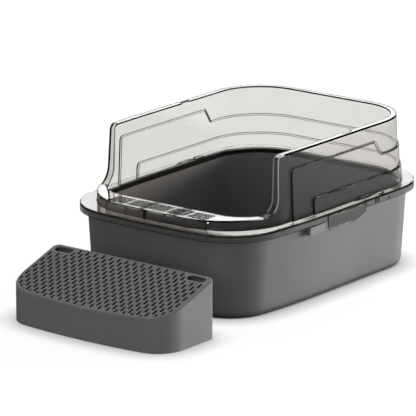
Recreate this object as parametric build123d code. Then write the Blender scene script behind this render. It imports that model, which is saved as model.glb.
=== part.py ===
from build123d import *
import os
from math import ceil, radians, sqrt, tan

# High-sided litter box: an open tray, a clear shield that stands on its rim, the shield's two side
# latch tabs, and a loose step with a perforated top. Millimetres. X runs across the entry, +Y from
# the entry to the back, +Z up. The origin is the middle of the tray's underside, on the floor.

# Overall sizes, taken at the shield's flange, which is the widest part
width = 400.0
length = 535.0
total_height = 260.0
flange_height = 146.0

# Plan shape that tray and shield share
front_bow_radius = 1430.0      # the entry side is bowed
cheek_radius = 1260.0          # the sides draw in towards the entry
cheek_length = 230.0           # where that starts, behind the entry edge
front_corner_radius = 95.0
back_corner_radius = 97.0

# Shield mouldings
shield_wall = 2.5
flange_thickness = 2.7
skirt_depth = 13.0
skirt_wall = 2.2
skirt_edge_chamfer = 1.2
shield_draft = 2.5             # degrees
wall_margin = 18.7             # from the flange's edge to the foot of the plain wall
curb_margin = 17.5             # the same at the entry
wall_front_radius = 115.0
wall_cheek_radius = 3000.0
tier_step = 2.7                # each tier stands this far outside the one above
tier_corner_radius = 8.0

# Entry: a curb with a ledge on top, and the swept front edges of the side walls
curb_height = 17.0             # above the flange
ledge_depth = 49.0
ledge_lip = 4.5                # the ledge stands this far out over the curb
ledge_edge_chamfer = 0.6
post_set_back = 118.0          # the walls' front edges, behind the entry edge
post_lean = 4.0                # how much further back they are at the top
post_sweep_radius = 27.0
post_top_radius = 11.0
lip_width = 10.0               # lip turned inwards round the top rim
opening_front_radius = 62.0
opening_bow_radius = 9000.0
rim_notch_length = 22.0        # a notch in the lip, halfway along each side
rim_notch_depth = 4.5

# Tiers of the walls: where each starts behind the entry edge, and how high it reaches
upper_tier_start = 152.0
upper_tier_height = 232.0
upper_tier_back_height = 208.0
upper_tier_jog = 384.0         # the top line drops here
upper_tier_jog_run = 17.0
lower_tier_start = 205.0
lower_tier_height = 174.0

# Grille in the ledge
grille_cells = 5
cell_pitch = 41.0
cell_width = 36.5
slot_rows = 6
slot_length = 33.0             # front to back, over all rows
slot_gap = 3.0
grille_border = 9.0            # from the ledge's front edge to the first slot
gusset_thickness = 1.6
gusset_depth = 12.0

# Side latch tabs: deep pieces of the skirt, free along three edges, with a film hinge on top
latch_start = 226.0            # behind the entry edge
latch_length = 105.0
latch_depth = 28.5             # from the flange's top to the tab's lower edge
latch_top = 4.6                # from the flange's top to the tab's upper edge
latch_end_gap = 0.6
latch_hinge_gap = 0.3
latch_cut_length = 36.0        # its lower edge rises towards the back
latch_cut_height = 9.0
latch_corner_radius = 3.0
latch_bead_width = 1.0         # bead along the lower edge for the fingers
latch_bead_height = 2.4

# Marks of the moulding in the skirt and flange behind each tab
slit_starts = (358.5, 366.0)   # behind the entry edge
slit_width = 1.6
slit_height = 11.0
crescent_radius = 17.0
crescent_width = 2.6
crescent_start = 368.0
crescent_length = 25.0
button_radius = 2.8
button_height = 0.6
button_place = 397.0
button_drop = 9.5
ridge_start = 314.0            # low curved ridge at the foot of the wall
ridge_length = 54.0
ridge_width = 3.0
ridge_height = 2.4

# Tray
tray_wall = 3.0
tray_draft = 3.4               # degrees
tray_wall_margin = 12.5        # from the flange's edge to the tray's wall, at the rim
tray_bottom_radius = 12.0
tray_inner_chamfer = 6.0       # along the inside of the bottom
rim_thickness = 2.8
rim_lip_depth = 9.0
rim_lip_wall = 2.2
rim_clearance = 0.5            # between the rim's lip and the skirt
seat_gap = 0.3                 # between the rim and the flange that stands on it
lug_start = 181.0              # catch on each side wall, under the skirt
lug_length = 41.0
lug_depth = 13.0
lug_drop = 15.5                # from the flange's top to the lug's top
lug_corner_radius = 6.0

# Step
step_width = 328.0
step_depth = 140.0
step_back_height = 100.0
step_front_height = 53.5
step_wall = 3.0
step_bow_radius = 1070.0
step_front_radius = 50.0
step_back_radius = 12.0
step_edge_bevel = 2.4
step_distance = 54.5           # stands this far in front of the entry edge
step_offset = 18.7             # and this far to the right of the middle

# Perforation of the step's top
slit_size = 4.6
slit_run = 12.0
slit_pitch = 16.2              # from slit to slit in a row
slit_row_pitch = 9.25          # from row to row, each shifted by half a pitch
slit_first_row = 9.8           # from the back edge to the middle of the first row
slit_margin = 5.0
finger_slot_length = 36.0
finger_slot_width = 13.0
finger_slot_spacing = 272.0
finger_slot_inset = 13.0       # from the back edge to the slot's middle
finger_slot_margin = 3.5

# Worked out from the sizes above
entry_y = -length / 2
flange_underside = flange_height - flange_thickness
skirt_bottom = flange_height - skirt_depth
ledge_height = flange_height + curb_height
tray_height = flange_underside - seat_gap
beyond = 40.0                  # how far cutting shapes run past what they cut
ledge_front = entry_y + curb_margin - ledge_lip
ledge_back = ledge_front + ledge_depth


def tub_plan(half_width, front, back, front_radius, back_radius, bow_radius, side_radius, inset=0.0):
    """Plan of the tub, or a parallel of it: bowed front, sides that draw in towards it, straight back."""
    half_width -= inset
    front += inset
    back -= inset
    bow_radius -= inset
    side_radius -= inset
    cheek_end = entry_y + cheek_length
    centre_x = half_width - side_radius

    def side(y):
        return centre_x + sqrt(side_radius**2 - (cheek_end - y) ** 2)

    corner_y = front + bow_radius - sqrt(bow_radius**2 - side(front) ** 2)
    corner_x = side(corner_y)
    middle_y = (cheek_end + corner_y) / 2
    edges = [
        ThreePointArc((-corner_x, corner_y), (0, front), (corner_x, corner_y)),
        ThreePointArc((corner_x, corner_y), (side(middle_y), middle_y), (half_width, cheek_end)),
        Polyline((half_width, cheek_end), (half_width, back), (-half_width, back), (-half_width, cheek_end)),
        ThreePointArc((-half_width, cheek_end), (-side(middle_y), middle_y), (-corner_x, corner_y)),
    ]
    plan = make_face(edges)
    plan = fillet(plan.vertices().sort_by(Axis.Y)[:2], front_radius - inset)
    return fillet(plan.vertices().sort_by(Axis.Y)[-2:], back_radius - inset)


def flange_plan(inset=0.0):
    """Outline of the shield's flange, or a parallel of it further in."""
    return tub_plan(
        width / 2,
        entry_y,
        length / 2,
        front_corner_radius,
        back_corner_radius,
        front_bow_radius,
        cheek_radius,
        inset,
    )


def wall_plan(inset=0.0):
    """Foot of the shield's plain wall, or a parallel of it further in."""
    return tub_plan(
        width / 2 - wall_margin,
        entry_y + curb_margin,
        length / 2 - wall_margin,
        wall_front_radius,
        back_corner_radius,
        front_bow_radius,
        wall_cheek_radius,
        inset,
    )


def at_height(plan, z):
    return Pos(0, 0, z) * plan


def side_view(points, radii):
    """A YZ outline, given behind the entry edge, with chosen corners rounded."""
    flat = make_face(Polyline(*[(entry_y + y, z) for y, z in points], close=True))
    for (y, z), radius in radii:
        corner = flat.vertices().sort_by_distance((entry_y + y, z, 0))[0]
        flat = fillet(corner, radius)
    return flat


def across(view):
    """Turns a YZ outline into a solid that runs right across the box."""
    return extrude(Plane.YZ * view, amount=width / 2 + beyond, both=True)


def shield_view():
    """Everything under the shield's upper edge: ledge, swept posts and top rim."""
    low, front, back = flange_underside - beyond, -beyond, length + beyond
    post_top = post_set_back + post_lean
    return side_view(
        [
            (front, low),
            (front, ledge_height),
            (post_set_back, ledge_height),
            (post_top, total_height),
            (back, total_height),
            (back, low),
        ],
        [((post_set_back, ledge_height), post_sweep_radius), ((post_top, total_height), post_top_radius)],
    )


def upper_tier_view():
    low, back = flange_underside - beyond, length + beyond
    return side_view(
        [
            (upper_tier_start, low),
            (upper_tier_start, upper_tier_height),
            (upper_tier_jog, upper_tier_height),
            (upper_tier_jog + upper_tier_jog_run, upper_tier_back_height),
            (back, upper_tier_back_height),
            (back, low),
        ],
        [((upper_tier_start, upper_tier_height), tier_corner_radius)],
    )


def lower_tier_view():
    low, back = flange_underside - beyond, length + beyond
    return side_view(
        [(lower_tier_start, low), (lower_tier_start, lower_tier_height), (back, lower_tier_height), (back, low)],
        [((lower_tier_start, lower_tier_height), tier_corner_radius)],
    )


def shield_tier(outset, inset):
    """Drafted block for one tier of the walls, from the flange's underside to past the top rim."""
    high = total_height + beyond
    rise = (high - flange_underside) * tan(radians(shield_draft))
    foot = at_height(wall_plan(inset - outset), flange_underside)
    return loft([foot, at_height(wall_plan(inset - outset + rise), high)], ruled=True)


def shield_body(inset):
    """The shield's outer form, or its hollow when inset by the wall."""
    body = shield_tier(0.0, inset)
    body += shield_tier(tier_step, inset) & across(offset(upper_tier_view(), -inset))
    body += shield_tier(2 * tier_step, inset) & across(offset(lower_tier_view(), -inset))
    return body & across(offset(shield_view(), -inset))


def opening():
    """Shaft that leaves the ledge, the posts' flanges and the top lip standing round it."""
    rise = (total_height - flange_underside) * tan(radians(shield_draft))
    inset = wall_margin + rise + lip_width
    plan = tub_plan(
        width / 2 - inset,
        ledge_back,
        length / 2 - inset,
        opening_front_radius,
        back_corner_radius - rise - lip_width,
        opening_bow_radius,
        wall_cheek_radius,
    )
    return extrude(at_height(plan, flange_underside - beyond), amount=total_height + beyond)


def ledge_plate():
    """Top of the ledge with its lip over the curb, which runs out into the walls at the sides."""
    rise = (ledge_height - flange_underside) * tan(radians(shield_draft))
    plan = tub_plan(
        width / 2 - wall_margin - rise - ledge_lip / 4,
        ledge_front,
        length / 2 - wall_margin,
        wall_front_radius + ledge_lip,
        back_corner_radius,
        front_bow_radius,
        wall_cheek_radius,
    )
    plate = extrude(at_height(plan, ledge_height - shield_wall), amount=shield_wall)
    plate = chamfer(plate.faces().sort_by(Axis.Z)[-1].edges(), ledge_edge_chamfer)
    sweep_start = post_set_back - post_sweep_radius
    return plate & (Pos(0, entry_y + sweep_start / 2, ledge_height) * Box(width, sweep_start, width))


def flange_and_skirt():
    cap = extrude(at_height(flange_plan(), skirt_bottom), amount=skirt_depth)
    cap = chamfer(cap.faces().sort_by(Axis.Z)[-1].edges(), skirt_edge_chamfer)
    inside = at_height(flange_plan(skirt_wall), skirt_bottom)
    return cap - extrude(inside, amount=flange_underside - skirt_bottom)


def grille_slots():
    """Rows of slots in the ledge, in cells with a bar between them."""
    pitch = slot_length / slot_rows
    first = ledge_front + grille_border + pitch / 2
    slots = []
    for cell in range(grille_cells):
        x = (cell - (grille_cells - 1) / 2) * cell_pitch
        for row in range(slot_rows):
            slots.append(Pos(x, first + row * pitch) * Rectangle(cell_width, slot_gap))
    return extrude(at_height(Sketch() + slots, ledge_height - 2 * shield_wall), amount=4 * shield_wall)


def ledge_gussets():
    """Ribs under the ledge, one below each bar of the grille."""
    top = ledge_height - shield_wall
    foot = flange_underside
    wall = entry_y + curb_margin + shield_wall / 2
    ribs = []
    for bar in range(grille_cells + 1):
        x = (bar - grille_cells / 2) * cell_pitch
        bow = front_bow_radius - sqrt(front_bow_radius**2 - x**2)
        rib = make_face(
            Polyline((wall, foot), (wall, top + 1), (wall + gusset_depth, top + 1), (wall + 3, foot), close=True)
        )
        ribs.append(Pos(x, bow, 0) * extrude(Plane.YZ * rib, amount=gusset_thickness / 2, both=True))
    return ribs


def rim_notches():
    """A notch in the top lip, halfway along each side wall."""
    rise = (total_height - flange_underside) * tan(radians(shield_draft))
    lip_edge = width / 2 - wall_margin - rise - lip_width
    y = entry_y + (post_set_back + length - wall_margin) / 2
    notch = Box(2 * rim_notch_depth, rim_notch_length, 4 * shield_wall)
    return [Pos(side * lip_edge, y, total_height) * notch for side in (-1, 1)]


def latch_view(end_gap, side_gap):
    """YZ outline of the right-hand tab, or of the bay for it when gaps are given."""
    top = flange_height - latch_top + side_gap
    bottom = flange_height - latch_depth
    front = latch_start - end_gap
    back = latch_start + latch_length + end_gap
    cut = latch_cut_height
    return side_view(
        [(front, bottom), (front, top), (back, top), (back, bottom + cut), (back - latch_cut_length, bottom)],
        [((front, bottom), latch_corner_radius), ((back, bottom + cut), latch_corner_radius)],
    )


def on_side(view, inner, outer):
    """Turns a YZ outline into a solid between two distances from the middle plane."""
    return extrude(Plane.YZ.offset(inner) * view, amount=outer - inner)


def skirt_slits():
    """Two slits up from the skirt's lower edge."""
    low = skirt_bottom - 1
    high = skirt_bottom + slit_height
    slits = []
    for start in slit_starts:
        middle = entry_y + start + slit_width / 2
        slit = Pos(middle, (low + high) / 2) * Rectangle(slit_width, high - low)
        slits.append(on_side(slit, width / 2 - skirt_wall - 0.2, width / 2 + 1))
    return slits


def flange_crescent():
    """Curved core slot in the flange, along its edge."""
    middle = entry_y + crescent_start + crescent_length / 2
    disc = Pos(width / 2 - crescent_radius - 1.5 * skirt_wall, middle) * Circle(crescent_radius)
    moon = disc - Pos(-crescent_width, 0) * disc
    moon = moon & (Pos(width / 2, middle) * Rectangle(2 * crescent_radius, crescent_length))
    return extrude(at_height(moon, flange_underside - 1), amount=flange_thickness + 2)


def skirt_button():
    """Small round boss on the skirt."""
    at = Pos(width / 2 - skirt_wall / 2, entry_y + button_place, flange_height - button_drop)
    disc = Cylinder(button_radius, skirt_wall / 2 + button_height, align=(Align.CENTER, Align.CENTER, Align.MIN))
    return at * Rot(0, 90, 0) * disc


def foot_ridge():
    """Low curved ridge where the wall meets the flange."""
    foot = width / 2 - wall_margin + 2 * tier_step - shield_wall / 2
    middle = entry_y + ridge_start + ridge_length / 2
    reach = ridge_width + shield_wall / 2
    outline = make_face(
        [
            ThreePointArc(
                (middle - ridge_length / 2, flange_height),
                (middle, flange_height + ridge_height),
                (middle + ridge_length / 2, flange_height),
            ),
            Polyline(
                (middle + ridge_length / 2, flange_height),
                (middle + ridge_length / 2, flange_height - 1),
                (middle - ridge_length / 2, flange_height - 1),
                (middle - ridge_length / 2, flange_height),
            ),
        ]
    )
    return on_side(outline, foot, foot + reach)


def both_sides(pieces):
    """The pieces and their mirror images across the middle plane."""
    return list(pieces) + [mirror(piece, Plane.YZ) for piece in pieces]


def make_shield():
    shield = flange_and_skirt() + shield_body(0.0)
    shield -= shield_body(shield_wall)
    shield += ledge_plate()
    shield += ledge_gussets()
    shield -= opening()
    shield -= grille_slots()
    shield -= rim_notches()
    bay = on_side(latch_view(latch_end_gap, latch_hinge_gap), width / 2 - skirt_wall - 0.2, width / 2 + 1)
    shield -= both_sides([bay, flange_crescent()] + skirt_slits())
    shield += both_sides([skirt_button(), foot_ridge()])
    return shield


def make_latch_tab():
    """Right-hand tab: a plate with a round upper edge to turn on and a bead to pull it by."""
    outer = width / 2
    inner = outer - skirt_wall
    plate = on_side(latch_view(0.0, 0.0), inner, outer)
    top_edges = plate.faces().sort_by(Axis.Z)[-1].edges().filter_by(Axis.Y)
    plate = fillet(top_edges, skirt_wall / 2 - 0.05)
    bottom = flange_height - latch_depth
    length = latch_length - latch_cut_length - 2 * latch_corner_radius
    middle = entry_y + latch_start + latch_corner_radius + length / 2
    bead = Pos(outer, middle, bottom + latch_bead_height / 2) * Box(2 * latch_bead_width, length, latch_bead_height)
    bead = fillet(bead.edges().filter_by(Axis.Y).group_by(Axis.X)[-1], 0.45 * latch_bead_height)
    return plate + bead


def make_tray():
    slope = tan(radians(tray_draft))
    mouth = at_height(flange_plan(tray_wall_margin), tray_height)
    tub = extrude(mouth, amount=-tray_height, taper=tray_draft)
    tub = chamfer(tub.faces().sort_by(Axis.Z)[0].edges(), tray_bottom_radius * 0.6)
    tub = chamfer(tub.edges().filter_by_position(Axis.Z, -1, tray_bottom_radius), tray_bottom_radius * 0.2)
    above = at_height(flange_plan(tray_wall_margin + tray_wall - beyond * slope), tray_height + beyond)
    hollow = extrude(above, amount=tray_wall - tray_height - beyond, taper=tray_draft)
    hollow = chamfer(hollow.faces().sort_by(Axis.Z)[0].edges(), tray_inner_chamfer)
    edge = skirt_wall + rim_clearance
    rim = extrude(at_height(flange_plan(edge), tray_height - rim_thickness), amount=rim_thickness)
    lip = flange_plan(edge) - flange_plan(edge + rim_lip_wall)
    rim += extrude(at_height(lip, tray_height - rim_lip_depth), amount=rim_lip_depth)
    lug_top = flange_height - lug_drop
    lug_view = side_view(
        [
            (lug_start, lug_top - lug_depth),
            (lug_start, lug_top),
            (lug_start + lug_length, lug_top),
            (lug_start + lug_length, lug_top - lug_depth),
        ],
        [((lug_start + lug_length, lug_top), lug_corner_radius)],
    )
    lug = on_side(lug_view, width / 2 - tray_wall_margin - tray_wall, width / 2 - edge - rim_lip_wall / 2)
    return tub + rim + both_sides([lug]) - hollow


def step_plan(inset=0.0):
    """Plan of the step, or a parallel of it: straight back, bowed front with large corners."""
    half = step_width / 2 - inset
    back = entry_y - step_distance - inset
    front = back - step_depth + 2 * inset
    bow_radius = step_bow_radius - inset
    bow = bow_radius - sqrt(bow_radius**2 - half**2)
    plan = make_face(
        [
            ThreePointArc((-half, front + bow), (0, front), (half, front + bow)),
            Polyline((half, front + bow), (half, back), (-half, back), (-half, front + bow)),
        ]
    )
    plan = fillet(plan.vertices().sort_by(Axis.Y)[:2], step_front_radius - inset)
    return fillet(plan.vertices().sort_by(Axis.Y)[-2:], step_back_radius - inset)


def step_block(inset):
    """The step's outer form, or its hollow when inset by the wall."""
    back = entry_y - step_distance
    slope = (step_back_height - step_front_height) / step_depth
    drop = inset * sqrt(1 + slope**2)
    view = make_face(
        Polyline(
            (back - step_depth - beyond, -1),
            (back - step_depth - beyond, step_front_height - beyond * slope - drop),
            (back + beyond, step_back_height + beyond * slope - drop),
            (back + beyond, -1),
            close=True,
        )
    )
    block = extrude(step_plan(inset), amount=step_back_height + beyond)
    return block & across(view)


def finger_slots(margin=0.0):
    y = entry_y - step_distance - finger_slot_inset
    slot = SlotOverall(finger_slot_length + 2 * margin, finger_slot_width + 2 * margin)
    return [Pos(side * finger_slot_spacing / 2, y) * slot for side in (-1, 1)]


def step_perforation():
    """Staggered slits, cut short at the margin and round the two finger slots."""
    back = entry_y - step_distance - slit_first_row
    slits = []
    for row in range(ceil(step_depth / slit_row_pitch)):
        shift = 0.5 * (1 - row % 2)
        half_count = ceil(step_width / slit_pitch / 2)
        for place in range(-half_count, half_count):
            x = (place + shift) * slit_pitch
            slits.append(Pos(x, back - row * slit_row_pitch) * Rectangle(slit_size, slit_run))
    field = step_plan(slit_margin)
    field -= finger_slots(finger_slot_margin)
    return (Sketch() + slits) & field


def make_step():
    step = step_block(0.0)
    top = step.faces().sort_by(Axis.Z)[-1]
    step = chamfer(top.edges(), step_edge_bevel)
    step -= step_block(step_wall)
    holes = step_perforation() + finger_slots()
    step -= extrude(holes, amount=step_back_height + beyond)
    return Pos(step_offset, 0, 0) * step


def main():
    os.makedirs("parts", exist_ok=True)
    latch_right = make_latch_tab()
    parts = {
        "tray": make_tray(),
        "shield": make_shield(),
        "latch_tab_right": latch_right,
        "latch_tab_left": mirror(latch_right, Plane.YZ),
        "step": make_step(),
    }
    for name, solid in parts.items():
        export_step(solid, f"parts/{name}.step")


main()
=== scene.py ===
import math

import bmesh
import bpy
from bpy.props import FloatProperty, FloatVectorProperty, PointerProperty
from bpy.types import Operator, Panel, PropertyGroup
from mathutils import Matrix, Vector


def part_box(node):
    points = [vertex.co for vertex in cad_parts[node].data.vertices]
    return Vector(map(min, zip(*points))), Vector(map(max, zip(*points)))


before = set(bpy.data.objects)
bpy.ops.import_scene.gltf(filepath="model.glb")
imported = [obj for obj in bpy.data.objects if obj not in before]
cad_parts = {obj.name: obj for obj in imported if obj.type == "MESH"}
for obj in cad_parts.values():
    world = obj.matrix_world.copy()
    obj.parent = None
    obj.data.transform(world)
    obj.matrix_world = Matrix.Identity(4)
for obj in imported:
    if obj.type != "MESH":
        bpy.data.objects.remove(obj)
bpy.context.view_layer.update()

bl_info = {
    "name": "Litter box with clear shield",
    "version": (1, 0, 0),
    "blender": (4, 5, 0),
    "location": "View3D > Sidebar > Litter box",
    "description": "Dresses the litter box, its clear shield and its loose step",
    "category": "Object",
}


# Where the shield's looks change, with its painted dark lines and painted highlight: start and end of each
# fade, in metres

SKIRT_FOOT = (0.134, 0.1365)
SKIRT_TOP = (0.1425, 0.1465)
FLANGE_EDGE_BOTTOM = (0.1421, 0.1427)
FLANGE_EDGE_TOP = (0.145, 0.1454)
WALL_FOOT_INNER = (0.186, 0.188)
WALL_FOOT_OUTER = (0.1925, 0.194)
UNDER_LEDGE_BOTTOM = (0.146, 0.147)
UNDER_LEDGE_TOP = (0.1585, 0.16)
UNDER_LEDGE_SIDE = (0.112, 0.114)
UNDER_LEDGE_BACK = (-0.2, -0.195)
GRILLE_BOTTOM = (0.158, 0.16)
GRILLE_SIDE = (0.104, 0.106)
GRILLE_BACK = (-0.21, -0.208)
POST_BOTTOM = (0.166, 0.17)
POST_SIDE = (0.12, 0.13)
POST_BACK = (-0.132, -0.128)
LIP_SIDE_BOTTOM = (0.2564, 0.257)
LIP_TOP_BOTTOM = (0.2575, 0.2585)
DARK_RIB_SIDE = (0.0008, 0.0012)

# How level a face is: 0 for an upright one, 1 for one that looks straight up

LEANS_BACK = (0.6, 0.9)
LOOKS_UP = (0.9, 0.95)
LEAVES_LIP_SIDE = (0.3, 0.6)
LEAVES_FLANGE_EDGE = (0.5, 0.8)

# Fades of the marks and of the painted shade in the materials

EDGE_LINE_FADE = (0.002, 0.018)
GRAZING_FADE = (0.82, 0.97)
WORN_CORNER = (0.52, 0.6)
DUST_TOP = (0.0, 0.03)
RIM_FADE = 0.001
FACES_INWARD = (-0.02, 0.0)
SLIT_BORDER_FADE = 0.0008
SLIT_DEPTH = (0.0002, 0.0016)

# Spots per metre of the marks in the materials

MOTTLING = 9.0
FLOW_MARKS = 3.0
SCRATCHES = 60.0
DUST = 25.0
HAZE = 14.0
SMEARS = 30.0
FINE_SPECKS = 900.0
WAVES = 11.0
FLOOR_SPECKS = 40.0

# Strength of the marks and of the painted shade in the materials, where 1 hides what is below

FLOW_STRENGTH = 0.35
EDGE_WEAR = 0.3
DUST_COVER = 0.12
FOOT_PAINTED_SHADE = 0.45
SLIT_PAINTED_SHADE = 0.93
GRAZING_LINE = 0.5
WALL_FOOT_LINE = 0.7
FLANGE_EDGE_LINE = 0.75

# Strength of the bumps, and height of the waves in metres

GRAIN_BUMP = 0.12
WAVE_BUMP = 0.08
WAVE_HEIGHT = 0.002

# Share of the painted dark edge lines that each place takes away

LESS_ON_GRILLE = 0.15
LESS_AT_SKIRT_FOOT = 0.75
LESS_UNDER_LEDGE = 0.85

# Walls' worth of tint that light takes on its way to other surfaces

LIGHT_DEPTH = 3.2

# Roughness that marks and places add to the clear plastic

SMEAR_ROUGHNESS = 0.03
SPECK_ROUGHNESS = 0.01
FLANGE_ROUGHNESS = 0.36
LIP_ROUGHNESS = 0.13

# Colours that no setting holds

BLACK = (0.0, 0.0, 0.0, 1.0)
WHITE = (1.0, 1.0, 1.0, 1.0)
DUST_COLOUR = (0.5, 0.49, 0.47, 1.0)
# Painted shade along the clear plastic's edges, and a painted highlight along the right post's edges
PAINTED_EDGE_SHADE = (0.004, 0.0035, 0.003, 1.0)
PAINTED_POST_HIGHLIGHT = (0.6, 0.59, 0.57, 1.0)
LIGHT_THROUGH_SKIRT = (0.9, 0.9, 0.9, 1.0)

# The stage: each light's name, place, size and the setting that holds its watts

LIGHTS = (
    ("key", (1.7, 2.5, 0.3), (2.0, 0.5), "key_power"),
    ("back", (-1.98, 2.6, 1.12), (1.1, 0.5), "back_power"),
    ("behind", (0.0, 3.0, 0.5), (1.6, 0.6), "behind_power"),
    ("top", (-1.6, 1.2, 2.5), (1.8, 1.8), "top_power"),
    ("front", (1.0, -4.0, 1.2), (1.6, 1.2), "front_power"),
)
LIGHT_TARGET = (0.0, -0.05, 0.1)
FLOOR_GAP = 0.0002
FLOOR_SAMPLES = 12
FLOOR_IN_GLOSS = 0.25
GLOW_IN_GLOSS = 0.02
HOLLOW_FADE = (0.08, 0.3)
CARD_TOP = (0.05, 0.3)
CARD_IN_GLOSS = 0.5
ABOVE_CARD = 0.06


# Settings that a user would change


class PlasticSettings(PropertyGroup):
    grey: FloatVectorProperty(
        name="Grey plastic",
        description="Colour of the tray and the step",
        subtype="COLOR",
        size=3,
        min=0.0,
        max=1.0,
        default=(0.15, 0.149, 0.151),
    )
    clear_tint: FloatVectorProperty(
        name="Clear tint",
        description="What one wall of the shield lets through",
        subtype="COLOR",
        size=3,
        min=0.0,
        max=1.0,
        default=(0.83, 0.815, 0.79),
    )
    # Partly thicker plastic, partly painted shade: the skirt's tint is darker than its thickness gives,
    # for the shade under the flange.
    painted_skirt_shade_tint: FloatVectorProperty(
        name="Skirt tint",
        description="What the thick skirt and flange let through",
        subtype="COLOR",
        size=3,
        min=0.0,
        max=1.0,
        default=(0.49, 0.48, 0.465),
    )
    flange_tint: FloatVectorProperty(
        name="Flange tint",
        description="What the top of the flange lets through",
        subtype="COLOR",
        size=3,
        min=0.0,
        max=1.0,
        default=(0.72, 0.7, 0.67),
    )
    clear_ior: FloatProperty(
        name="Clear IOR",
        description="Refraction of the shield",
        default=1.32,
        min=1.0,
    )
    grey_roughness: FloatProperty(
        name="Grey roughness",
        description="Roughness of the satin grey",
        default=0.46,
        min=0.0,
        max=1.0,
    )
    clear_roughness: FloatProperty(
        name="Clear roughness",
        description="Roughness of the polished shield",
        default=0.03,
        min=0.0,
        max=1.0,
    )
    grain_size: FloatProperty(
        name="Grain size",
        description="Width of the mould's fine grain",
        default=0.0006,
        unit="LENGTH",
    )
    # Painted shade: width of the dark line painted along the clear plastic's edges.
    painted_line_width: FloatProperty(
        name="Edge line",
        description="Width of the dark line along the edges of the clear plastic",
        default=0.0021,
        unit="LENGTH",
    )
    # Painted shade: one gusset under the ledge is painted dark.
    painted_dark_rib: FloatProperty(
        name="Dark rib",
        description="Distance to the left of the middle of the gusset that looks dark",
        default=0.0205,
        unit="LENGTH",
    )
    # Painted shade: the tray's wall is painted darker towards the floor, for the shade on a rounder foot.
    foot_shade: FloatProperty(
        name="Foot shade",
        description="Height up to which the tray's wall is darker above the floor",
        default=0.026,
        unit="LENGTH",
    )
    # Painted shade: the top of the tray's inside is painted near black from this height up.
    rim_shade_start: FloatProperty(
        name="Rim shade start",
        description="Height from which the top of the tray's inside is dark",
        default=0.1345,
        unit="LENGTH",
    )
    step_slope: FloatProperty(
        name="Step slope",
        description="Rise over run of the step's top",
        default=0.332,
    )
    step_margin: FloatProperty(
        name="Step margin",
        description="Plain border round the slits of the step",
        default=0.0045,
        unit="LENGTH",
    )
    step_corner: FloatProperty(
        name="Step corner",
        description="Radius of the step's front corners",
        default=0.05,
        unit="LENGTH",
    )
    step_bow: FloatProperty(
        name="Step bow",
        description="Radius of the step's bowed front",
        default=1.07,
        unit="LENGTH",
    )


class StageSettings(PropertyGroup):
    azimuth: FloatProperty(
        name="Azimuth",
        description="Turn of the camera from looking along +Y",
        default=math.radians(37.69),
        unit="ROTATION",
    )
    elevation: FloatProperty(
        name="Elevation",
        description="Height of the camera above the horizon",
        default=math.radians(15.48),
        unit="ROTATION",
    )
    camera_place: FloatVectorProperty(
        name="Camera place",
        description="Where the camera stands",
        subtype="XYZ",
        unit="LENGTH",
        size=3,
        default=(3.9426, -5.2079, 1.9214),
    )
    lens: FloatProperty(
        name="Lens",
        description="Focal length in millimetres",
        default=351.5,
    )
    floor_size: FloatProperty(
        name="Floor size",
        description="Width of the pale floor",
        default=60.0,
        unit="LENGTH",
    )
    floor_colour: FloatVectorProperty(
        name="Floor colour",
        description="Colour of the floor",
        subtype="COLOR",
        size=3,
        min=0.0,
        max=1.0,
        default=(0.45, 0.45, 0.45),
    )
    floor_glow: FloatProperty(
        name="Floor glow",
        description="How white the floor looks by itself",
        default=0.865,
    )
    floor_shade: FloatProperty(
        name="Floor shade",
        description="How much of the lamps' shadow the floor shows",
        default=0.6,
        min=0.0,
        max=0.95,
    )
    # Painted shadow: these reaches set the shadow painted into the floor's glow round the foot and under
    # hollows.
    shadow_reach: FloatProperty(
        name="Shadow reach",
        description="Width of the soft shadow round the foot",
        default=0.046,
        unit="LENGTH",
    )
    hollow_reach: FloatProperty(
        name="Hollow reach",
        description="Height up to which a hollow keeps the floor below it dark",
        default=0.2,
        unit="LENGTH",
    )
    key_power: FloatProperty(
        name="Key power",
        description="Watts of the light behind on the right",
        default=110.0,
    )
    back_power: FloatProperty(
        name="Back power",
        description="Watts of the light behind on the left",
        default=5.6,
    )
    behind_power: FloatProperty(
        name="Behind power",
        description="Watts of the light right behind",
        default=22.0,
    )
    top_power: FloatProperty(
        name="Top power",
        description="Watts of the light overhead",
        default=13.0,
    )
    front_power: FloatProperty(
        name="Front power",
        description="Watts of the light at the front",
        default=13.0,
    )
    sky_level: FloatProperty(
        name="Sky level",
        description="Even light from all round",
        default=0.36,
    )


# Shader maths


class Value:
    """A number from a shader socket, with the maths written as an expression."""

    def __init__(self, shop, socket):
        self.shop = shop
        self.socket = socket

    def _join(self, operation, first, second):
        node = self.shop.add("ShaderNodeMath", {"operation": operation}, {0: first, 1: second})
        return Value(self.shop, node.outputs[0])

    def __add__(self, other):
        return self._join("ADD", self, other)

    def __radd__(self, other):
        return self._join("ADD", other, self)

    def __sub__(self, other):
        return self._join("SUBTRACT", self, other)

    def __rsub__(self, other):
        return self._join("SUBTRACT", other, self)

    def __mul__(self, other):
        return self._join("MULTIPLY", self, other)

    def __rmul__(self, other):
        return self._join("MULTIPLY", other, self)

    def __truediv__(self, other):
        return self._join("DIVIDE", self, other)

    def __pow__(self, other):
        return self._join("POWER", self, other)

    def highest(self, other):
        return self._join("MAXIMUM", self, other)

    def size(self):
        return self._join("ABSOLUTE", self, 0.0)

    def ramp(self, low, high):
        """0 below low, 1 above high, smooth between."""
        node = self.shop.add(
            "ShaderNodeMapRange",
            {"interpolation_type": "SMOOTHSTEP"},
            {"Value": self, "From Min": low, "From Max": high},
        )
        return Value(self.shop, node.outputs["Result"])

    def between(self, rise, fall):
        """High from the end of the rise to the start of the fall."""
        return self.ramp(*rise) * (1 - self.ramp(*fall))


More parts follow.
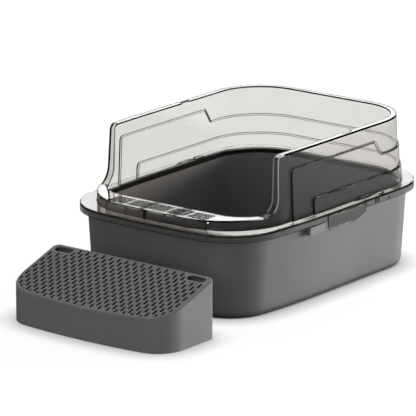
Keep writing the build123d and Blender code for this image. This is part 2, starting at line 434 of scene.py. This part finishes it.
class Shop:
    """Makes the nodes of one material or world."""

    def __init__(self, tree):
        self.tree = tree
        tree.nodes.clear()

    def add(self, kind, settings=None, sockets=None):
        node = self.tree.nodes.new(kind)
        for name, value in (settings or {}).items():
            setattr(node, name, value)
        for name, value in (sockets or {}).items():
            self.feed(node.inputs[name], value)
        return node

    def feed(self, socket, value):
        if isinstance(value, Value):
            self.tree.links.new(value.socket, socket)
        elif isinstance(value, bpy.types.NodeSocket):
            self.tree.links.new(value, socket)
        else:
            socket.default_value = value

    def value(self, socket):
        return Value(self, socket)

    def place(self):
        """Place on the piece, in metres."""
        return self.add("ShaderNodeTexCoord").outputs["Object"]

    def facing(self):
        """Direction in which the surface looks."""
        return self.add("ShaderNodeNewGeometry").outputs["Normal"]

    def split(self, vector):
        node = self.add("ShaderNodeSeparateXYZ", sockets={0: vector})
        return [self.value(socket) for socket in node.outputs]

    def dot(self, first, second):
        node = self.add("ShaderNodeVectorMath", {"operation": "DOT_PRODUCT"}, {0: first, 1: second})
        return self.value(node.outputs["Value"])

    def noise(self, scale, detail, roughness=0.5, stretch=None):
        where = self.place()
        if stretch:
            sockets = {0: where, 1: stretch}
            where = self.add("ShaderNodeVectorMath", {"operation": "MULTIPLY"}, sockets).outputs[0]
        node = self.add(
            "ShaderNodeTexNoise",
            sockets={"Vector": where, "Scale": scale, "Detail": detail, "Roughness": roughness},
        )
        return self.value(node.outputs["Fac"])

    def mix_colour(self, factor, first, second):
        """Inputs 6 and 7 and output 2 are the colours of the Mix node."""
        node = self.add(
            "ShaderNodeMix",
            {"data_type": "RGBA", "blend_type": "MIX", "clamp_factor": True},
            {"Factor": factor, 6: first, 7: second},
        )
        return node.outputs[2]

    def shader(self, kind, sockets):
        return self.add(kind, sockets=sockets).outputs[0]

    def mix_shaders(self, factor, first, second):
        return self.shader("ShaderNodeMixShader", {0: factor, 1: first, 2: second})

    def bump(self, height, strength, distance):
        sockets = {"Height": height, "Strength": strength, "Distance": distance}
        return self.add("ShaderNodeBump", sockets=sockets).outputs["Normal"]

    def corner_wear(self):
        """High on outer edges, low in corners."""
        return self.value(self.add("ShaderNodeNewGeometry").outputs["Pointiness"])

    def ray(self, kind):
        """1 for one kind of ray, 0 for the others."""
        return self.value(self.add("ShaderNodeLightPath").outputs[kind])

    def looked_at(self, in_gloss):
        """1 for what the camera sees, also through clear plastic, and in_gloss for its reflection."""
        direct = self.ray("Is Camera Ray").highest(self.ray("Is Transmission Ray"))
        return direct.highest(self.ray("Is Glossy Ray") * in_gloss)

    def sharp_edge(self, width):
        """High within the given width of a sharp edge."""
        rounded = self.add("ShaderNodeBevel", {"samples": 6}, {"Radius": width}).outputs["Normal"]
        return 1 - self.dot(rounded, self.facing()).size()

    def finish(self, shader):
        self.add("ShaderNodeOutputMaterial", sockets={"Surface": shader})


def new_material(name):
    material = bpy.data.materials.new(name)
    material.use_nodes = True
    return material, Shop(material.node_tree)


def rgba(colour, factor=1.0):
    return (*[min(1.0, c * factor) for c in colour], 1.0)


def deeper(tint, depth):
    """The tint after that many times the thickness."""
    return [c**depth for c in tint]


# Grey plastic of the tray and the step


def painted_slit_shade_mask(shop, settings):
    """High on the walls of the step's slits and below them, where painted shade makes them near black; low
    on everything that faces outward.
    """
    low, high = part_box("step")
    x, y, z = shop.split(shop.place())
    top = high.z + (y - high.y) * settings.step_slope
    across = (x - (low.x + high.x) / 2).size()
    half_width = (high.x - low.x) / 2
    bow = across * across / (2 * settings.step_bow)
    past_side = (across - (half_width - settings.step_corner)).highest(0.0)
    past_front = (low.y + settings.step_corner + bow - y).highest(0.0)
    reach = (past_side * past_side + past_front * past_front) ** 0.5
    front_border = settings.step_corner - settings.step_margin
    back_border = high.y - settings.step_margin
    inside = 1 - reach.ramp(front_border, front_border + SLIT_BORDER_FADE)
    inside = inside * (1 - y.ramp(back_border, back_border + SLIT_BORDER_FADE))
    return inside * (top - z).ramp(*SLIT_DEPTH)


def under_the_rim(shop, settings):
    """High along the top of the tray's inside, where the flange above keeps the light away; painted shade
    makes it near black there.
    """
    place = shop.place()
    height = shop.split(place)[2]
    outward = shop.dot(shop.facing(), place)
    start = settings.rim_shade_start
    return height.ramp(start, start + RIM_FADE) * (1 - outward.ramp(*FACES_INWARD))


def worn_grey(shop, settings, shade, scuffs, mottling, edge):
    """The grey with its mottling, flow marks, pale worn edges, scratches and dust; shade scales it all as
    painted light for each copy.
    """
    grey = settings.grey
    height = shop.split(shop.place())[2]
    flow = shop.noise(FLOW_MARKS, detail=2.0, stretch=(1.0, 1.0, 5.0))
    scratch = shop.noise(SCRATCHES, detail=3.0, roughness=0.7, stretch=(0.35, 0.35, 6.0)).ramp(0.66, 0.78)
    dust = (1 - height.ramp(*DUST_TOP)) * shop.noise(DUST, detail=4.0).ramp(0.45, 0.7)
    colour = shop.mix_colour(mottling.ramp(0.3, 0.7), rgba(grey, 0.95 * shade), rgba(grey, 1.05 * shade))
    colour = shop.mix_colour(flow.ramp(0.4, 0.7) * FLOW_STRENGTH, colour, rgba(grey, 1.12 * shade))
    colour = shop.mix_colour(edge * EDGE_WEAR, colour, rgba(grey, 1.7 * shade))
    colour = shop.mix_colour(scratch * scuffs, colour, rgba(grey, 1.5 * shade))
    return shop.mix_colour(dust * DUST_COVER, colour, DUST_COLOUR)


def satin_grey(name, settings, shade, scuffs, painted_tray_shade=False, slits=False):
    """Moulded grey plastic with a fine grain; shade brightens it as painted light, and painted shade
    darkens the tray's foot and the top of its inside, or the slits.
    """
    material, shop = new_material(name)
    mottling = shop.noise(MOTTLING, detail=3.0)
    grain = shop.noise(1.0 / settings.grain_size, detail=1.0)
    fine = shop.noise(0.35 / settings.grain_size, detail=2.0)
    edge = shop.corner_wear().ramp(*WORN_CORNER)
    colour = worn_grey(shop, settings, shade, scuffs, mottling, edge)
    # Painted shade: the tray's wall is painted darker towards the floor.
    if painted_tray_shade:
        foot = 1 - shop.split(shop.place())[2].ramp(0.0, settings.foot_shade)
        colour = shop.mix_colour(foot * FOOT_PAINTED_SHADE, colour, rgba(settings.grey, 0.45))
    # Painted shade: the slits' walls and the hollow below them are painted near black.
    if slits:
        painted_slit_shade = painted_slit_shade_mask(shop, settings) * SLIT_PAINTED_SHADE
        colour = shop.mix_colour(painted_slit_shade, colour, rgba(settings.grey, 0.05))
    roughness = settings.grey_roughness + 0.08 * (mottling - 0.5) + 0.06 * (fine - 0.5) - 0.08 * edge
    surface = shop.shader(
        "ShaderNodeBsdfPrincipled",
        {
            "Base Color": colour,
            "Roughness": roughness,
            "Normal": shop.bump(grain + 0.5 * fine, GRAIN_BUMP, settings.grain_size),
            "IOR": 1.49,
            "Specular IOR Level": 0.5,
        },
    )
    # Painted shade: the top of the tray's inside gets a near black, dull plastic.
    if painted_tray_shade:
        painted_rim_shade = shop.shader(
            "ShaderNodeBsdfPrincipled",
            {"Base Color": rgba(settings.grey, 0.1), "Roughness": 0.8, "Specular IOR Level": 0.05},
        )
        surface = shop.mix_shaders(under_the_rim(shop, settings), surface, painted_rim_shade)
    shop.finish(surface)
    return material


# Clear plastic of the shield and its latch tabs


class ShieldPlaces:
    """Masks that are high on one part of the shield each."""

    def __init__(self, shop, settings):
        x, y, z = shop.split(shop.place())
        upward = shop.split(shop.facing())[2]
        level = upward.size()
        across = x.size()
        from_rib = (x + settings.painted_dark_rib).size()
        painted_flange_edge_line = z.between(FLANGE_EDGE_BOTTOM, FLANGE_EDGE_TOP)
        under_ledge = z.between(UNDER_LEDGE_BOTTOM, UNDER_LEDGE_TOP)
        under_ledge = under_ledge * (1 - across.ramp(*UNDER_LEDGE_SIDE))
        self.skirt = 1 - z.ramp(*SKIRT_TOP)
        self.skirt_foot = 1 - z.ramp(*SKIRT_FOOT)
        self.flange_top = self.skirt * upward.ramp(*LEANS_BACK)
        self.painted_flange_edge_line = painted_flange_edge_line * (1 - level.ramp(*LEAVES_FLANGE_EDGE))
        self.painted_wall_foot_line = self.flange_top * across.between(WALL_FOOT_INNER, WALL_FOOT_OUTER)
        self.under_ledge = under_ledge * (1 - y.ramp(*UNDER_LEDGE_BACK))
        self.painted_dark_rib = self.under_ledge * (1 - from_rib.ramp(*DARK_RIB_SIDE))
        self.grille = (1 - across.ramp(*GRILLE_SIDE)) * (1 - y.ramp(*GRILLE_BACK)) * z.ramp(*GRILLE_BOTTOM)
        self.right_post = x.ramp(*POST_SIDE) * (1 - y.ramp(*POST_BACK)) * z.ramp(*POST_BOTTOM)
        self.painted_lip_shade = z.ramp(*LIP_SIDE_BOTTOM) * (1 - level.ramp(*LEAVES_LIP_SIDE))
        self.lip_top = z.ramp(*LIP_TOP_BOTTOM) * upward.ramp(*LOOKS_UP)


def painted_dark_lines(shop, settings, places):
    """High where dark lines are painted on the clear plastic as painted shade: along its edges, one rib,
    the lip's side, the wall's foot, the flange's edge and faces seen at a low angle.
    """
    grazing = shop.value(shop.add("ShaderNodeLayerWeight", sockets={"Blend": 0.5}).outputs["Facing"])
    lines = shop.sharp_edge(settings.painted_line_width).ramp(*EDGE_LINE_FADE)
    lines = lines * (1 - LESS_ON_GRILLE * places.grille)
    lines = lines * (1 - LESS_AT_SKIRT_FOOT * places.skirt_foot)
    lines = lines * (1 - LESS_UNDER_LEDGE * places.under_ledge)
    lines = lines.highest(places.painted_lip_shade).highest(places.painted_dark_rib)
    lines = lines.highest(grazing.ramp(*GRAZING_FADE) * GRAZING_LINE)
    lines = lines.highest(places.painted_wall_foot_line * WALL_FOOT_LINE)
    return lines.highest(places.painted_flange_edge_line * FLANGE_EDGE_LINE)


def light_through(shop, settings, places):
    """What the clear plastic does to light on its way to other surfaces, so that the inside stays lit."""
    tint = deeper(settings.clear_tint, LIGHT_DEPTH)
    wall = shop.shader("ShaderNodeBsdfTransparent", {"Color": rgba(tint)})
    skirt = shop.shader("ShaderNodeBsdfTransparent", {"Color": LIGHT_THROUGH_SKIRT})
    return shop.mix_shaders(places.skirt, wall, skirt)


def clear_plastic(name, settings, painted_line_strength=0.97, depth=1.0):
    """Polished clear plastic with a faint haze, smears and waves, painted shade in its skirt, painted dark
    edge lines and a painted highlight on the right post.
    """
    material, shop = new_material(name)
    places = ShieldPlaces(shop, settings)
    tint = settings.clear_tint
    haze = shop.noise(HAZE, detail=3.0)
    smears = shop.noise(SMEARS, detail=4.0, roughness=0.65, stretch=(1.0, 1.0, 0.35)).ramp(0.58, 0.8)
    fine = shop.noise(FINE_SPECKS, detail=1.0)
    waves = shop.noise(WAVES, detail=1.0)
    colour = shop.mix_colour(haze.ramp(0.3, 0.7), rgba(tint, 0.985), rgba(tint, 1.015))
    # Painted shade: the skirt is tinted darker, for the shade under the flange.
    colour = shop.mix_colour(places.skirt, colour, rgba(deeper(settings.painted_skirt_shade_tint, depth)))
    colour = shop.mix_colour(places.flange_top, colour, rgba(settings.flange_tint))
    roughness = settings.clear_roughness + SMEAR_ROUGHNESS * smears + SPECK_ROUGHNESS * fine
    roughness = roughness + FLANGE_ROUGHNESS * places.flange_top + LIP_ROUGHNESS * places.lip_top
    glass = shop.shader(
        "ShaderNodeBsdfPrincipled",
        {
            "Base Color": colour,
            "Roughness": roughness,
            "Normal": shop.bump(waves, WAVE_BUMP, WAVE_HEIGHT),
            "IOR": settings.clear_ior,
            "Transmission Weight": 1.0,
        },
    )
    # Painted shade along the edges, and a painted highlight along the right post's edges.
    painted_line_colour = shop.mix_colour(places.right_post, PAINTED_EDGE_SHADE, PAINTED_POST_HIGHLIGHT)
    edge = shop.shader(
        "ShaderNodeBsdfPrincipled",
        {"Base Color": painted_line_colour, "Roughness": 0.9, "Specular IOR Level": 0.0},
    )
    painted_lines_over_glass = shop.mix_shaders(painted_dark_lines(shop, settings, places) * painted_line_strength, glass, edge)
    passes = shop.ray("Is Shadow Ray").highest(shop.ray("Is Diffuse Ray"))
    shop.finish(shop.mix_shaders(passes, painted_lines_over_glass, light_through(shop, settings, places)))
    return material


# Floor


def floor_paper(settings):
    """Pale paper that looks white, with the object's shadow on it and a painted shadow in its glow round
    the foot and under hollows.
    """
    material, shop = new_material("pale floor")
    pale = settings.floor_colour
    specks = shop.noise(FLOOR_SPECKS, detail=3.0)
    colour = shop.mix_colour(specks, rgba(pale, 0.995), rgba(pale, 1.005))
    colour = shop.mix_colour(shop.ray("Is Glossy Ray"), colour, rgba(pale, FLOOR_IN_GLOSS))
    paper = shop.shader(
        "ShaderNodeBsdfPrincipled",
        {"Base Color": colour, "Roughness": 0.7, "Specular IOR Level": 0.2},
    )
    samples = {"samples": FLOOR_SAMPLES}
    # Painted shadow: the floor's glow is darkened round the foot and under hollows such as the step.
    near = shop.add("ShaderNodeAmbientOcclusion", samples, {"Distance": settings.shadow_reach})
    wide = shop.add("ShaderNodeAmbientOcclusion", samples, {"Distance": settings.hollow_reach})
    open_air = shop.value(wide.outputs["AO"]).ramp(*HOLLOW_FADE)
    seen = shop.mix_colour(open_air, BLACK, near.outputs["Color"])
    strength = settings.floor_glow / (1 - settings.floor_shade)
    glow = shop.shader("ShaderNodeEmission", {"Color": seen, "Strength": strength})
    white = shop.mix_shaders(settings.floor_shade, glow, paper)
    shop.finish(shop.mix_shaders(shop.looked_at(GLOW_IN_GLOSS), paper, white))
    return material


# Pieces


def dress(node_name, material):
    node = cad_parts[node_name]
    node.data.materials.clear()
    node.data.materials.append(material)


class OBJECT_OT_litter_tray(Operator):
    """Dress the grey tray"""

    bl_idname = "object.litter_tray"
    bl_label = "Tray"

    def execute(self, context):
        settings = context.scene.litter_plastic
        # shade=1.2 brightens the tray's copy of the grey as painted light.
        dress("tray", satin_grey("satin grey tray", settings, shade=1.2, scuffs=0.25, painted_tray_shade=True))
        return {"FINISHED"}


class OBJECT_OT_litter_shield(Operator):
    """Dress the clear shield"""

    bl_idname = "object.litter_shield"
    bl_label = "Shield"

    def execute(self, context):
        settings = context.scene.litter_plastic
        dress("shield", clear_plastic("clear shield", settings))
        return {"FINISHED"}


class OBJECT_OT_litter_latches(Operator):
    """Dress the two latch tabs"""

    bl_idname = "object.litter_latches"
    bl_label = "Latch tabs"

    def execute(self, context):
        settings = context.scene.litter_plastic
        # The latches get weaker painted dark lines, and depth darkens their skirt tint further as painted
        # shade.
        material = clear_plastic("clear latch", settings, painted_line_strength=0.3, depth=1.25)
        for side in ("right", "left"):
            dress(f"latch_tab_{side}", material)
        return {"FINISHED"}


class OBJECT_OT_litter_step(Operator):
    """Dress the loose step"""

    bl_idname = "object.litter_step"
    bl_label = "Step"

    def execute(self, context):
        settings = context.scene.litter_plastic
        # shade=1.33 brightens the step's copy of the grey more than the tray's, as painted light.
        dress("step", satin_grey("satin grey step", settings, shade=1.33, scuffs=0.4, slits=True))
        return {"FINISHED"}


class SCENE_OT_litter_stage(Operator):
    """Make the floor, the lights and the camera"""

    bl_idname = "scene.litter_stage"
    bl_label = "Stage"

    def execute(self, context):
        settings = context.scene.litter_stage
        self.make_floor(settings)
        self.make_world(context.scene, settings)
        for name, place, size, power in LIGHTS:
            self.make_light(name, place, size, getattr(settings, power))
        self.make_camera(context.scene, settings)
        context.scene.view_settings.view_transform = "Standard"
        return {"FINISHED"}

    def make_floor(self, settings):
        mesh = bpy.data.meshes.new("floor")
        shape = bmesh.new()
        bmesh.ops.create_grid(shape, x_segments=1, y_segments=1, size=settings.floor_size / 2)
        shape.to_mesh(mesh)
        shape.free()
        mesh.materials.append(floor_paper(settings))
        floor = bpy.data.objects.new("floor", mesh)
        bpy.context.collection.objects.link(floor)
        floor.location.z = -FLOOR_GAP

    def make_world(self, scene, settings):
        """White to the camera, a low white card to gloss and clear plastic, and even light to the rest."""
        world = bpy.data.worlds.new("studio")
        scene.world = world
        world.use_nodes = True
        shop = Shop(world.node_tree)
        direct = shop.ray("Is Camera Ray")
        through = shop.ray("Is Transmission Ray")
        gloss = shop.ray("Is Glossy Ray")
        height = shop.split(shop.add("ShaderNodeTexCoord").outputs["Generated"])[2]
        card = 1 - height.ramp(*CARD_TOP)
        mirrored = (through + CARD_IN_GLOSS * gloss) * (ABOVE_CARD + (1 - ABOVE_CARD) * card)
        even = (1 - direct) * (1 - through) * (1 - gloss) * settings.sky_level
        sky = shop.shader("ShaderNodeBackground", {"Color": WHITE, "Strength": direct + mirrored + even})
        shop.add("ShaderNodeOutputWorld", sockets={"Surface": sky})

    def make_light(self, name, place, size, power):
        data = bpy.data.lights.new(name, "AREA")
        data.shape = "RECTANGLE"
        data.size, data.size_y = size
        data.energy = power
        light = bpy.data.objects.new(name, data)
        bpy.context.collection.objects.link(light)
        light.location = place
        towards = Vector(LIGHT_TARGET) - Vector(place)
        light.rotation_euler = towards.to_track_quat("-Z", "Y").to_euler()

    def make_camera(self, scene, settings):
        data = bpy.data.cameras.new("camera")
        data.lens = settings.lens
        data.sensor_width = 36.0
        data.clip_start = 0.1
        data.clip_end = 200.0
        camera = bpy.data.objects.new("camera", data)
        bpy.context.collection.objects.link(camera)
        camera.location = settings.camera_place
        camera.rotation_euler = (math.pi / 2 - settings.elevation, 0.0, settings.azimuth)
        scene.camera = camera


class VIEW3D_PT_litter_box(Panel):
    """Lists the pieces and their settings"""

    bl_label = "Litter box"
    bl_space_type = "VIEW_3D"
    bl_region_type = "UI"
    bl_category = "Litter box"

    def draw(self, context):
        layout = self.layout
        for operator in PIECES:
            layout.operator(operator.bl_idname)
        for group in (context.scene.litter_plastic, context.scene.litter_stage):
            for name in group.bl_rna.properties.keys():
                if name not in ("rna_type", "name"):
                    layout.prop(group, name)


PIECES = (
    OBJECT_OT_litter_tray,
    OBJECT_OT_litter_shield,
    OBJECT_OT_litter_latches,
    OBJECT_OT_litter_step,
    SCENE_OT_litter_stage,
)
CLASSES = (PlasticSettings, StageSettings, *PIECES, VIEW3D_PT_litter_box)


def register():
    for item in CLASSES:
        bpy.utils.register_class(item)
    bpy.types.Scene.litter_plastic = PointerProperty(type=PlasticSettings)
    bpy.types.Scene.litter_stage = PointerProperty(type=StageSettings)


def unregister():
    del bpy.types.Scene.litter_stage
    del bpy.types.Scene.litter_plastic
    for item in reversed(CLASSES):
        bpy.utils.unregister_class(item)


def main():
    register()
    bpy.ops.object.litter_tray()
    bpy.ops.object.litter_shield()
    bpy.ops.object.litter_latches()
    bpy.ops.object.litter_step()
    bpy.ops.scene.litter_stage()


if __name__ == "__main__":
    main()
